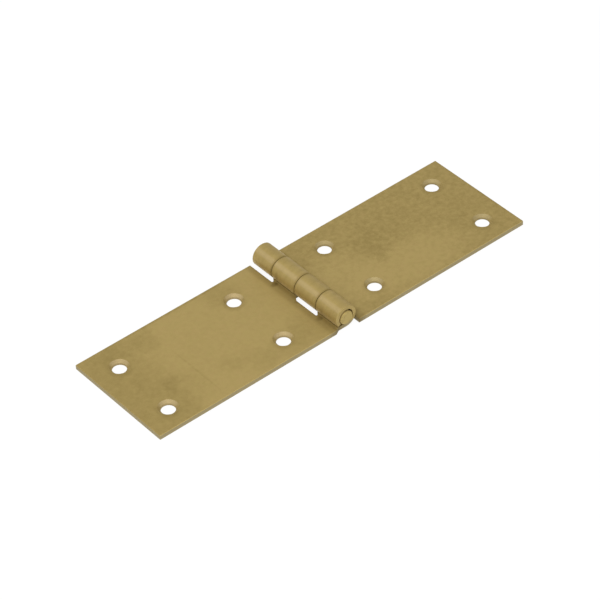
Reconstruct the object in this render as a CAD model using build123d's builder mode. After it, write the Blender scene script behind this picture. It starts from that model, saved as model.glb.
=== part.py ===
from build123d import *
import os
from math import acos, asin, degrees, isclose, radians, sqrt, tan

# Box hinge lying open: the left leaf runs to -X, the right leaf to +X, and the pin lies along Y.
# The leaves rest on Z = 0 with their rolled knuckles on top. Far is +Y and near is -Y.

# Leaves, blanked from the same sheet
leaf_length = 70.0  # pin axis to the free end of a leaf
leaf_width = 40.0  # along the pin
sheet = 1.5  # thickness
leaf_stagger = 0.5  # end play: the left leaf stands this much further along the pin than the right one
corner_radius = 0.2  # free corners of a leaf
edge_round = 0.2  # soft upper edge left by the blanking press

# Pin, loose in the rolls and lying on the bottom of them
pin_diameter = 4.6
pin_clearance = 0.35  # radial, between the pin and the rolls
pin_seat = 0.1  # pin above the bottom of the rolls
pin_proud = 0.35  # near end of the pin, past the last knuckle
pin_chamfer = 0.25

# Knuckles, counted from the far end: right, left, right, left
first_knuckle = 8.7  # right leaf
second_knuckle = 10.4  # left leaf
third_knuckle = 9.6  # right leaf
knuckle_gap = 0.2  # between neighbours
roll_wall = 1.2  # the sheet where it is stretched round the pin and the bore is reamed
rim_break = 0.18  # outer edges of each roll
roll_gap = 0.12  # free end of a roll, above its own leaf
left_slot_clearance = 0.6  # edge of the left leaf to the right leaf's knuckles
right_slot_clearance = 0.1  # edge of the right leaf to the left leaf's knuckles
left_drift = 2.0  # the left leaf's tongues are cut askew and shift this much along the pin
row_setback = 0.7  # near end of the last roll, short of the left leaf's near edge
root_radius = 0.4  # inner corners of the slots between tongues

# Screw holes, four on each leaf
hole_diameter = 4.5
hole_land = 0.6  # straight wall left under the countersink
head_angle = 90.0
hole_spacing_y = 23.0  # along the pin
left_hole_spacing = 42.8  # along the left leaf
left_end_margin = 9.1  # outer holes to the free end of the left leaf
left_hole_shift = -0.6  # hole pattern off the middle of the left leaf, along the pin
right_hole_spacing = 43.6
right_end_margin = 9.0
right_hole_shift = 0.15

# Sizes that follow
pin_radius = pin_diameter / 2
bore_radius = pin_radius + pin_clearance
knuckle_radius = bore_radius + roll_wall
axis_height = knuckle_radius
roll_start = sqrt(axis_height**2 - (axis_height - sheet) ** 2) + knuckle_gap / 2  # neck passes into its roll
roll_angle = 270 + degrees(asin((axis_height - sheet - roll_gap) / knuckle_radius))
bore_angle = roll_angle + degrees(acos((axis_height - sheet) / bore_radius))
head_radius = hole_diameter / 2 + (sheet - hole_land) * tan(radians(head_angle / 2))
left_middle = leaf_stagger / 2
right_middle = -leaf_stagger / 2
left_slot_edge = knuckle_radius + left_slot_clearance
right_slot_edge = knuckle_radius + right_slot_clearance

# Ends of the knuckles along Y, as (near, far): the row starts flush with the right leaf's far edge
row_far = right_middle + leaf_width / 2
row_near = left_middle - leaf_width / 2 + row_setback
first_span = (row_far - first_knuckle, row_far)
second_far = first_span[0] - knuckle_gap
second_span = (second_far - second_knuckle, second_far)
third_far = second_span[0] - knuckle_gap
third_span = (third_far - third_knuckle, third_far)
fourth_span = (row_near, third_span[0] - knuckle_gap)


# Flat blank of a leaf with the necks of its tongues, on the side of the pin that the sign gives
def flat_blank(side, middle, slot_edge, spans, drift):
    length = leaf_length - slot_edge
    with BuildPart() as blank:
        with BuildSketch() as outline:
            with Locations((side * (slot_edge + length / 2), middle)):
                Rectangle(length, leaf_width)
            fillet(outline.vertices().group_by(lambda corner: side * corner.X)[-1], corner_radius)
            for near, far in spans:
                root = max(near - drift, middle - leaf_width / 2)
                with BuildLine():
                    Polyline(
                        (side * slot_edge, root),
                        (side * slot_edge, far - drift),
                        (side * roll_start, far),
                        (side * roll_start, near),
                        close=True,
                    )
                make_face()
            inner = outline.vertices().filter_by(lambda corner: isclose(corner.X, side * slot_edge))
            reach = leaf_width / 2 - root_radius
            fillet(inner.filter_by(lambda corner: abs(corner.Y - middle) < reach), root_radius)
        extrude(amount=sheet)
        upper = blank.faces().sort_by(Axis.Z)[-1].edges()
        fillet(upper.filter_by(lambda edge: abs(edge.center().X) > roll_start + edge_round), edge_round)
    return blank.part


# Roll of one tongue: the sheet runs under the pin, up, over it and back down to its own leaf
def roll(side, span):
    near, far = span
    start = near if side > 0 else far
    with BuildPart() as rolled:
        with BuildSketch(Plane(origin=(0, start, 0), x_dir=(-side, 0, 0), z_dir=(0, side, 0))):
            with BuildLine():
                underside = Line((-roll_start, 0), (0, 0))
                outside = CenterArc((0, axis_height), knuckle_radius, -90, roll_angle)
                inside = CenterArc((0, axis_height), bore_radius, roll_angle - 90, -bore_angle)
                Line(outside @ 1, inside @ 0)
                upper = Line(inside @ 1, (-roll_start, sheet))
                Line(upper @ 1, underside @ 0)
            make_face()
        extrude(amount=far - near)
        arcs = rolled.edges().filter_by(GeomType.CIRCLE)
        chamfer(arcs.filter_by(lambda arc: isclose(arc.radius, knuckle_radius)), rim_break)
    return rolled.part


# Countersunk holes, seen from above
def screw_holes(side, middle, spacing, end_margin, shift):
    centre = side * (leaf_length - end_margin - spacing / 2)
    with Locations((centre, middle + shift, sheet)):
        with GridLocations(spacing, hole_spacing_y, 2, 2):
            CounterSinkHole(hole_diameter / 2, head_radius, depth=sheet, counter_sink_angle=head_angle)


# Left leaf
with BuildPart() as left_leaf:
    left_spans = (second_span, fourth_span)
    add(flat_blank(-1, left_middle, left_slot_edge, left_spans, left_drift))
    for span in left_spans:
        add(roll(-1, span))
    screw_holes(-1, left_middle, left_hole_spacing, left_end_margin, left_hole_shift)
left_leaf.part.label = "left_leaf"

# Right leaf
with BuildPart() as right_leaf:
    right_spans = (first_span, third_span)
    add(flat_blank(1, right_middle, right_slot_edge, right_spans, 0))
    for span in right_spans:
        add(roll(1, span))
    screw_holes(1, right_middle, right_hole_spacing, right_end_margin, right_hole_shift)
right_leaf.part.label = "right_leaf"

# Pin, a cut length of wire as long as the row of knuckles, with both ends broken
with BuildPart() as hinge_pin:
    with BuildSketch(Plane.XZ.offset(pin_proud - row_far)):
        with Locations((0, axis_height - pin_clearance + pin_seat)):
            Circle(pin_radius)
    extrude(amount=row_far - row_near)
    chamfer(hinge_pin.edges().filter_by(GeomType.CIRCLE), pin_chamfer)
hinge_pin.part.label = "hinge_pin"

os.makedirs("parts", exist_ok=True)
export_step(left_leaf.part, "parts/left_leaf.step")
export_step(right_leaf.part, "parts/right_leaf.step")
export_step(hinge_pin.part, "parts/hinge_pin.step")
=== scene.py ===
import math

import bmesh
import bpy
from mathutils import Matrix, Vector

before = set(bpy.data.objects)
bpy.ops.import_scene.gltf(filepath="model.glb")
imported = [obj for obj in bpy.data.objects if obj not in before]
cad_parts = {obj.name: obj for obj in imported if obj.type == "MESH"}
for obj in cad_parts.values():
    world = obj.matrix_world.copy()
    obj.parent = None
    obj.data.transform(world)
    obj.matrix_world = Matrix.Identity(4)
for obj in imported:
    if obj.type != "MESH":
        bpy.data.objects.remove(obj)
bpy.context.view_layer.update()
scene = bpy.context.scene
print("frame loaded:", ", ".join(sorted(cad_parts)))


# one socket of a node tree, with arithmetic that adds Math nodes
class Wire:
    def __init__(self, tree, socket):
        self.tree = tree
        self.socket = socket

    def node(self, kind, settings, values, output=0):
        made = self.tree.nodes.new(kind)
        for name, value in settings.items():
            setattr(made, name, value)
        for name, value in values.items():
            if isinstance(value, Wire):
                self.tree.links.new(value.socket, made.inputs[name])
            else:
                made.inputs[name].default_value = value
        return Wire(self.tree, made.outputs[output])

    def maths(self, operation, first, second=0.0):
        return self.node("ShaderNodeMath", {"operation": operation}, {0: first, 1: second})

    def vectorMaths(self, operation, values):
        return self.node("ShaderNodeVectorMath", {"operation": operation}, values)

    def __add__(self, other):
        return self.maths("ADD", self, other)

    def __radd__(self, other):
        return self.maths("ADD", other, self)

    def __sub__(self, other):
        return self.maths("SUBTRACT", self, other)

    def __rsub__(self, other):
        return self.maths("SUBTRACT", other, self)

    def __neg__(self):
        return self.maths("SUBTRACT", 0.0, self)

    def __mul__(self, other):
        return self.maths("MULTIPLY", self, other)

    def __rmul__(self, other):
        return self.maths("MULTIPLY", other, self)

    def __truediv__(self, other):
        return self.maths("DIVIDE", self, other)

    def __abs__(self):
        return self.maths("ABSOLUTE", self)

    # 0 at the first limit, 1 at the second, and level beyond them
    def ramp(self, first, second):
        limits = {"Value": self, "From Min": first, "From Max": second}
        return self.node("ShaderNodeMapRange", {"interpolation_type": "SMOOTHSTEP"}, limits)

    def clamped(self):
        return self.maths("MINIMUM", self.maths("MAXIMUM", self, 0.0), 1.0)

    # colours: this value is the share of the layer
    def over(self, base, layer):
        base, layer = (colour if isinstance(colour, Wire) else (*colour, 1) for colour in (base, layer))
        return self.node("ShaderNodeMix", {"data_type": "RGBA"}, {0: self, 6: base, 7: layer}, 2)


def newMaterial(name):
    material = bpy.data.materials.new(name)
    material.use_nodes = True
    tree = material.node_tree
    tree.nodes.clear()
    output = tree.nodes.new("ShaderNodeOutputMaterial")
    return material, tree, output


def split(vector):
    parts = vector.tree.nodes.new("ShaderNodeSeparateXYZ")
    vector.tree.links.new(vector.socket, parts.inputs[0])
    return [Wire(vector.tree, axis) for axis in parts.outputs]


# object coordinates in millimetres
def millimetres(tree):
    coordinates = Wire(tree, tree.nodes.new("ShaderNodeTexCoord").outputs["Object"])
    return coordinates.vectorMaths("SCALE", {0: coordinates, "Scale": 1000.0})


# the surface's normal along the object's x, y and z
def facingOf(tree):
    return split(Wire(tree, tree.nodes.new("ShaderNodeTexCoord").outputs["Normal"]))


def reachOf(across, along):
    return across.maths("SQRT", across * across + along * along)


def noise(point, pattern, output=0):
    stretch, scale, detail, roughness = pattern
    place = point.vectorMaths("MULTIPLY", {0: point, 1: stretch})
    values = {"Vector": place, "Scale": scale, "Detail": detail, "Roughness": roughness}
    return point.node("ShaderNodeTexNoise", {}, values, output)


# yellow passivated plating on pressed steel
plating = {
    "clean": (0.446, 0.335, 0.116),
    "warm": (0.452, 0.332, 0.120),
    "dull": (0.333, 0.245, 0.079),
    # colour of the painted shade in the creases, seams, tongue roots, bores and round the holes
    "paintedShade": (0.120, 0.078, 0.016),
    "metallic": 0.55,
    "specular": 0.30,
    "roughness": 0.50,
    "grainHeight": 0.004,  # mm
    "grainStrength": 0.25,
}
# noise that breaks it up: stretch along the axes, scale, detail and roughness
patterns = {
    "drift": ((1.0, 1.0, 1.0), 0.16, 4.0, 0.60),
    "cloud": ((1.0, 1.0, 1.0), 0.06, 4.0, 0.55),
    "mottle": ((1.0, 1.5, 1.0), 0.45, 5.0, 0.68),
    "speckle": ((1.0, 1.0, 0.3), 0.62, 5.0, 0.72),
    "streaks": ((0.5, 1.1, 0.5), 0.70, 5.0, 0.65),
    "grain": ((0.35, 2.2, 2.2), 1.00, 5.0, 0.55),
}
# how that noise dulls the metal; pairs are limits of the noise, or as noted
dulling = {
    "wander": 9.0,  # mm that the rims of the marks waver by
    "upper": (0.3, 1.2),  # heights in mm where the marks begin, so that the underside stays plain
    "warm": (0.35, 0.65),
    "cloud": (0.45, 0.75),
    "cloudStrength": 0.12,
    "mottle": (0.60, 0.80),  # share that is always left, and what the mottle adds to it
    "paintedShade": (0.70, 0.60),  # the same for the painted shade
    "speckle": (1.8, 2.2),  # strength on clean metal, and what dull metal adds to it
    "broken": (0.20, 0.65),  # mottle that lets a straight mark show
    "streaks": 1.5,
}
roughening = {"mottle": 0.10, "dull": 0.10, "paintedShade": 0.30, "sink": 0.14}

# each leaf's own look; a mark is x, y, half length and half width in mm, and strength, below 0 where rubbed clean
leftLook = {
    "side": -1.0,  # along x
    "holes": (-39.5, -0.35, 21.4, 11.5),  # middle of the pattern and half its spacings
    "overall": 0.06,  # dull share all over
    "marks": [
        (-66.0, 0.0, 18.0, 36.0, 0.60),
        (-58.0, 17.0, 12.0, 6.0, 0.32),
        (-48.5, 15.0, 5.0, 8.0, 0.45),
        (-54.5, -6.0, 3.0, 7.0, 0.38),
        (-49.0, -10.0, 6.0, 9.0, 0.20),
        (-36.0, -10.0, 4.5, 4.5, 0.25),
        (-28.0, -14.0, 6.0, 7.0, 0.30),
        (-19.0, 15.0, 7.0, 8.0, 0.45),
        (-18.0, -15.0, 9.0, 8.0, 0.30),
        (-9.0, -14.0, 8.0, 10.0, 0.28),
        (-57.0, -16.0, 8.0, 6.0, 0.20),
    ],
    "straight": [(-45.3, -6.0, 0.5, 15.0, 0.30), (-32.0, 20.4, 38.0, 1.5, 0.85)],
    "rootShades": [  # painted shade at the roots of the tongues
        (-4.7, 8.4, 1.6, 1.2, 0.34),
        (-4.7, -2.2, 1.2, 1.1, 0.25),
        (-4.6, -12.3, 1.5, 1.2, 0.26),
    ],
    "speckle": 0.42,
    "rolls": 0.30,  # dull share of the knuckles
    "sink": (0.482, 0.376, 0.187),  # painted highlight on the near-facing side of the countersinks
}
rightLook = {
    "side": 1.0,
    "holes": (39.2, -0.1, 21.8, 11.5),
    "overall": 0.54,
    "marks": [
        (34.0, -12.0, 25.0, 13.0, -0.48),
        (14.0, -4.0, 14.0, 15.0, -0.46),
        (28.0, 2.0, 7.0, 9.0, 0.22),
        (36.0, 8.0, 14.0, 8.0, 0.10),
        (66.0, -8.0, 7.0, 12.0, 0.04),
    ],
    "straight": [(33.0, 6.0, 0.4, 5.0, 0.15), (70.0, 0.0, 1.1, 26.0, 0.35)],
    "rootShades": [],
    "speckle": 0.75,
    "rolls": 0.41,
    # painted highlight on the near-facing side of the countersinks
    "sink": (0.430, 0.342, 0.162),
}


# soft oval, as strong as the mark says in the middle and 0 at its rim
def oval(x, y, mark):
    middleX, middleY, halfLength, halfWidth, strength = mark
    across = (x - middleX) / halfLength
    along = (y - middleY) / halfWidth
    return (across * across + along * along).ramp(1.0, 0.0) * strength


# x and y shifted by a few millimetres, so that no mark has an even rim
def wavering(point):
    drift = noise(point, patterns["drift"], 1)
    centred = drift.vectorMaths("SUBTRACT", {0: drift, 1: (0.5, 0.5, 0.5)})
    scaled = drift.vectorMaths("SCALE", {0: centred, "Scale": dulling["wander"]})
    return split(drift.vectorMaths("ADD", {0: point, 1: scaled}))[:2]


# distance from the axis of the nearest of the leaf's four holes
def fromHole(x, y, look):
    middleX, middleY, halfX, halfY = look["holes"]
    return reachOf(abs(x - middleX) - halfX, abs(y - middleY) - halfY)


# screw holes: a painted highlight on the countersink slope that faces the near left and painted shade on its
# other sides, with painted shade in the bores and round the near side of the rim
holes = {
    "side": (0.380, 0.284, 0.102),  # painted shade on the other sides of the countersinks
    "sinkRim": (3.05, 3.35),  # radii where a countersink passes into the top face
    "brightWay": (-0.62, -0.79),  # way the painted highlight faces, along x and y
    "brightReach": (0.05, 0.50),
    "underside": (-0.60, -0.95),  # facing along z
    "bore": (2.45, 2.28),  # radii
    "boreShade": 0.16,
    "ring": (4.4, 2.6),  # radii
    "ringShift": (-0.55, -0.70),  # towards the near side
    "ringShade": 0.20,
}


# what the finish of a leaf goes by at each of its spots
class Spot:
    def __init__(self, tree, look):
        self.point = millimetres(tree)
        self.x, self.y, self.z = split(self.point)
        self.facing = facingOf(tree)
        self.mottle = noise(self.point, patterns["mottle"])
        self.hole = fromHole(self.x, self.y, look)
        self.underside = self.facing[2].ramp(*holes["underside"])
        self.sink = (1 - self.hole.ramp(*holes["sinkRim"])) * (1 - self.underside)


# countersinks: painted highlight where the slope faces the near left, painted shade elsewhere on it
def holeColours(colour, spot, look):
    alongX, alongY = holes["brightWay"]
    sinkHighlight = (spot.facing[0] * alongX + spot.facing[1] * alongY).ramp(*holes["brightReach"])
    return spot.sink.over(colour, sinkHighlight.over(holes["side"], look["sink"]))


# rolls: a paler painted highlight along the crown, painted light on the shaded left flank down to the foot, and
# painted light in the shaded bore
rolls = {
    "height": (1.8, 2.4),  # where the flat leaf gives way to them
    "axis": 3.85,  # height
    "crownHighlight": (0.420, 0.318, 0.145),
    "crownWay": (-0.57, 0.82),  # facing along x and z
    "crownReach": (0.955, 0.995),
    "crownShare": 0.7,
    "flankLight": (0.620, 0.495, 0.245),  # painted light on the left, down to the foot
    "flankTop": (4.4, 2.2),  # heights
    "flankFoot": (1.70, 1.90),
    "flankSide": (0.5, -0.5),  # x
    "flankEnds": (0.6, 0.2),  # facing along y, which leaves out the ends of the rolls
    # painted light in the bore of the rolls, where the gap round the pin lies in shade
    "inside": (0.580, 0.440, 0.165),
    "bore": (2.72, 2.66),  # radii
}


# painted highlight on the crown, painted light on the left flank and in the bore
def rollColours(colour, spot):
    alongX, alongZ = rolls["crownWay"]
    crownHighlight = (spot.facing[0] * alongX + spot.facing[2] * alongZ).ramp(*rolls["crownReach"])
    crownHighlight = crownHighlight * spot.z.ramp(*rolls["height"]) * rolls["crownShare"]
    flankLight = spot.z.ramp(*rolls["flankTop"]) * spot.z.ramp(*rolls["flankFoot"])
    flankLight = flankLight * spot.x.ramp(*rolls["flankSide"]) * abs(spot.facing[1]).ramp(*rolls["flankEnds"])
    inside = reachOf(spot.x, spot.z - rolls["axis"]).ramp(*rolls["bore"])
    colour = crownHighlight.over(colour, rolls["crownHighlight"])
    colour = flankLight.over(colour, rolls["flankLight"])
    return inside.over(colour, rolls["inside"])


# edges of the sheet: painted shade, darker and greyer, on the upright edge faces, and a painted highlight along
# the top of the near edges
edges = {
    "cut": (0.353, 0.286, 0.144),
    "cutTilt": (0.25, 0.55),  # facing along z
    "arrisHighlight": (0.505, 0.385, 0.142),
    "arrisTilt": (0.995, 0.93),
    "arrisNear": (0.0, 0.2),  # facing along -y
    "arrisFoot": (1.0, 1.2),  # heights
    "top": (1.52, 1.60),  # heights where the sheet ends
    "clear": (3.4, 3.7),  # radii that keep the holes out
}


def edgeColours(colour, spot):
    upright = abs(spot.facing[2])
    outside = (1 - spot.z.ramp(*edges["top"])) * spot.hole.ramp(*edges["clear"])
    arrisHighlight = upright.ramp(*edges["arrisTilt"]) * (-spot.facing[1]).ramp(*edges["arrisNear"])
    arrisHighlight = arrisHighlight * spot.z.ramp(*edges["arrisFoot"]) * outside
    cut = (1 - upright.ramp(*edges["cutTilt"])) * outside
    colour = arrisHighlight.over(colour, edges["arrisHighlight"])
    return cut.over(colour, edges["cut"])


# dull share: the broad marks of the upper face, broken up by noise
def dullShare(look, spot):
    looseX, looseY = wavering(spot.point)
    upper = spot.z.ramp(*dulling["upper"])
    cloud = noise(spot.point, patterns["cloud"]).ramp(*dulling["cloud"])
    dull = cloud * dulling["cloudStrength"] + look["overall"]
    for mark in look["marks"]:
        dull = dull + oval(looseX, looseY, mark) * upper
    always, added = dulling["mottle"]
    dull = dull * (always + added * spot.mottle)
    onClean, onDull = dulling["speckle"]
    speckle = noise(spot.point, patterns["speckle"]) - 0.5
    dull = dull + look["speckle"] * speckle * (onClean + onDull * dull)
    for mark in look["straight"]:
        dull = dull + oval(spot.x, spot.y, mark) * spot.mottle.ramp(*dulling["broken"]) * upper
    # rolls: fine streaks the way the sheet was drawn round the pin
    rolled = spot.z.ramp(*rolls["height"])
    streaks = noise(spot.point, patterns["streaks"]) - 0.5
    return (dull * (1 - rolled) + rolled * (look["rolls"] + dulling["streaks"] * streaks)).clamped()


# painted shade along the foot of the knuckles and in the seams between them, in mm
crease = {
    "x": 3.4,
    "height": 1.5,
    "top": (1.6, 2.0),  # heights where it ends on the rolls
    "broad": (2.1, 3.9, 0.27),  # full reach, end and strength
    "core": (0.5, 2.0, 0.24),
}
seams = {"places": (10.95, 0.35, -9.45), "reach": (0.95, 0.10), "foot": (1.6, 2.2), "strength": 0.24}


# share of painted shade: the crease, the seams, the tongue roots, the near side of the hole rims and the bores
def shadeShare(look, spot):
    distance = reachOf(spot.x * look["side"] - crease["x"], spot.z - crease["height"])
    broadFull, broadEnd, broadStrength = crease["broad"]
    coreFull, coreEnd, coreStrength = crease["core"]
    deep = distance.ramp(broadEnd, broadFull) * broadStrength
    deep = deep + distance.ramp(coreEnd, coreFull) * distance.ramp(0.0, coreFull) * coreStrength
    deep = deep * (1 - spot.z.ramp(*crease["top"]))
    for place in seams["places"]:
        line = abs(spot.y - place).ramp(*seams["reach"]) * spot.z.ramp(*seams["foot"])
        deep = deep + line * seams["strength"]
    for rootShade in look["rootShades"]:
        deep = deep + oval(spot.x, spot.y, rootShade)
    shiftX, shiftY = holes["ringShift"]
    ring = fromHole(spot.x - shiftX, spot.y - shiftY, look).ramp(*holes["ring"])
    ring = ring * spot.hole.ramp(*holes["sinkRim"]) * spot.z.ramp(*dulling["upper"])
    deep = deep + ring * holes["ringShade"] + spot.hole.ramp(*holes["bore"]) * holes["boreShade"]
    always, added = dulling["paintedShade"]
    return (deep * (always + added * spot.mottle) * (1 - spot.underside)).clamped()


def finishMaterial(tree, output, colour, rough, grain):
    height = plating["grainHeight"] / 1000
    relief = {"Strength": plating["grainStrength"], "Distance": height, "Height": grain}
    bump = grain.node("ShaderNodeBump", {}, relief)
    shader = tree.nodes.new("ShaderNodeBsdfPrincipled")
    shader.inputs["Metallic"].default_value = plating["metallic"]
    shader.inputs["Specular IOR Level"].default_value = plating["specular"]
    tree.links.new(colour.socket, shader.inputs["Base Color"])
    tree.links.new(rough.socket, shader.inputs["Roughness"])
    tree.links.new(bump.socket, shader.inputs["Normal"])
    tree.links.new(shader.outputs[0], output.inputs["Surface"])


def leafMaterial(name, look):
    material, tree, output = newMaterial(name)
    spot = Spot(tree, look)
    dull = dullShare(look, spot)
    paintedShade = shadeShare(look, spot)
    colour = spot.mottle.ramp(*dulling["warm"]).over(plating["clean"], plating["warm"])
    colour = dull.over(colour, plating["dull"])
    colour = rollColours(colour, spot)
    colour = holeColours(colour, spot, look)
    colour = edgeColours(colour, spot)
    # painted shade
    colour = paintedShade.over(colour, plating["paintedShade"])
    rough = plating["roughness"] + roughening["mottle"] * (spot.mottle - 0.5)
    rough = rough + roughening["dull"] * dull + roughening["paintedShade"] * paintedShade + roughening["sink"] * spot.sink
    grain = noise(spot.point, patterns["grain"]) * (1 - spot.sink)
    finishMaterial(tree, output, colour, rough, grain)
    return material


# pin: cut wire, a little brighter than the sheet
wire = {
    "clean": (0.460, 0.348, 0.118),
    "dull": (0.350, 0.262, 0.085),
    "mottle": ((1.0, 1.0, 1.0), 0.9, 4.0, 0.65),
    "dulling": (0.45, 0.75),  # mottle that turns it dull
    "roughening": 0.12,
    "grain": ((2.0, 0.4, 2.0), 1.0, 4.0, 0.55),
    "litSides": (0.6, 0.3),  # facing along y: away from its ends it takes the painted light of the inside of the rolls
}


def pinMaterial(name):
    material, tree, output = newMaterial(name)
    point = millimetres(tree)
    mottle = noise(point, wire["mottle"])
    litSides = abs(facingOf(tree)[1]).ramp(*wire["litSides"])
    colour = mottle.ramp(*wire["dulling"]).over(wire["clean"], wire["dull"])
    # painted light on the pin's sides in the gap round it
    colour = litSides.over(colour, rolls["inside"])
    rough = plating["roughness"] + wire["roughening"] * (mottle - 0.5)
    finishMaterial(tree, output, colour, rough, noise(point, wire["grain"]))
    return material


def dress(node, material):
    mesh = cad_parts[node].data
    mesh.materials.clear()
    mesh.materials.append(material)


dress("left_leaf", leafMaterial("leftPlating", leftLook))
dress("right_leaf", leafMaterial("rightPlating", rightLook))
dress("hinge_pin", pinMaterial("pinPlating"))
print("plating applied")


# floor: white to the eye and in the metal, with the hinge's shadow kept faintly
floorLook = {"size": 3.0, "drop": 0.00002, "colour": (0.80, 0.80, 0.80), "white": 0.86, "glow": 1.05}


def seenDirectly(tree):
    path = tree.nodes.new("ShaderNodeLightPath")
    camera = Wire(tree, path.outputs["Is Camera Ray"])
    glossy = Wire(tree, path.outputs["Is Glossy Ray"])
    through = Wire(tree, path.outputs["Is Transmission Ray"])
    return camera.maths("MAXIMUM", camera, glossy.maths("MAXIMUM", glossy, through))


def makeFloor():
    shape = bmesh.new()
    bmesh.ops.create_grid(shape, x_segments=1, y_segments=1, size=floorLook["size"] / 2)
    bmesh.ops.translate(shape, verts=shape.verts, vec=(0, 0, -floorLook["drop"]))
    mesh = bpy.data.meshes.new("floor")
    shape.to_mesh(mesh)
    shape.free()
    floor = bpy.data.objects.new("floor", mesh)
    scene.collection.objects.link(floor)
    material, tree, output = newMaterial("floorWhite")
    paint = tree.nodes.new("ShaderNodeBsdfDiffuse")
    paint.inputs["Color"].default_value = (*floorLook["colour"], 1)
    glow = tree.nodes.new("ShaderNodeEmission")
    glow.inputs["Strength"].default_value = floorLook["glow"]
    mix = tree.nodes.new("ShaderNodeMixShader")
    share = seenDirectly(tree) * floorLook["white"]
    tree.links.new(share.socket, mix.inputs[0])
    tree.links.new(paint.outputs[0], mix.inputs[1])
    tree.links.new(glow.outputs[0], mix.inputs[2])
    tree.links.new(mix.outputs[0], output.inputs["Surface"])
    floor.data.materials.append(material)


makeFloor()

# studio light: an even white room, a broad soft lamp from the near left, and a small one from the far left
# that draws the streak along the knuckles
studio = {
    "room": 0.68,
    "key": {"place": (-0.42, -0.42, 0.80), "size": 0.9, "watts": 5.6},
    "streak": {"place": (-0.375, 0.53, 0.62), "size": 0.30, "watts": 0.80},
}


def makeWorld():
    world = bpy.data.worlds.new("room")
    scene.world = world
    world.use_nodes = True
    backdrop = world.node_tree.nodes["Background"]
    backdrop.inputs["Color"].default_value = (1, 1, 1, 1)
    backdrop.inputs["Strength"].default_value = studio["room"]


def makeLamp(name, settings):
    lamp = bpy.data.lights.new(name, "AREA")
    lamp.size = settings["size"]
    lamp.energy = settings["watts"]
    holder = bpy.data.objects.new(name, lamp)
    scene.collection.objects.link(holder)
    holder.location = settings["place"]
    holder.rotation_euler = (-Vector(settings["place"])).to_track_quat("-Z", "Y").to_euler()


makeWorld()
for lampName in ("key", "streak"):
    makeLamp(lampName, studio[lampName])
print("light and floor set")

# camera, as the photograph was taken
view = {
    "azimuth": -38.0126,  # degrees from -Y
    "elevation": 41.3835,
    "roll": -3.023,
    "distance": 0.8549085,
    "target": (-0.0025149, -0.0007565, 0.0),
    "sensor": 36.0,  # mm
    "lens": 172.6816,
}


def makeCamera():
    turn, rise, roll = (math.radians(view[key]) for key in ("azimuth", "elevation", "roll"))
    back = Vector((math.sin(turn) * math.cos(rise), -math.cos(turn) * math.cos(rise), math.sin(rise)))
    right = Vector((0, 0, 1)).cross(back).normalized()
    up = back.cross(right)
    tilted = right * math.cos(roll) + up * math.sin(roll)
    matrix = Matrix((tilted, back.cross(tilted), back)).transposed().to_4x4()
    matrix.translation = Vector(view["target"]) + back * view["distance"]
    camera = bpy.data.objects.new("camera", bpy.data.cameras.new("camera"))
    scene.collection.objects.link(camera)
    camera.matrix_world = matrix
    camera.data.sensor_width = view["sensor"]
    camera.data.lens = view["lens"]
    scene.camera = camera


makeCamera()
scene.view_settings.view_transform = "Standard"
print("camera set")
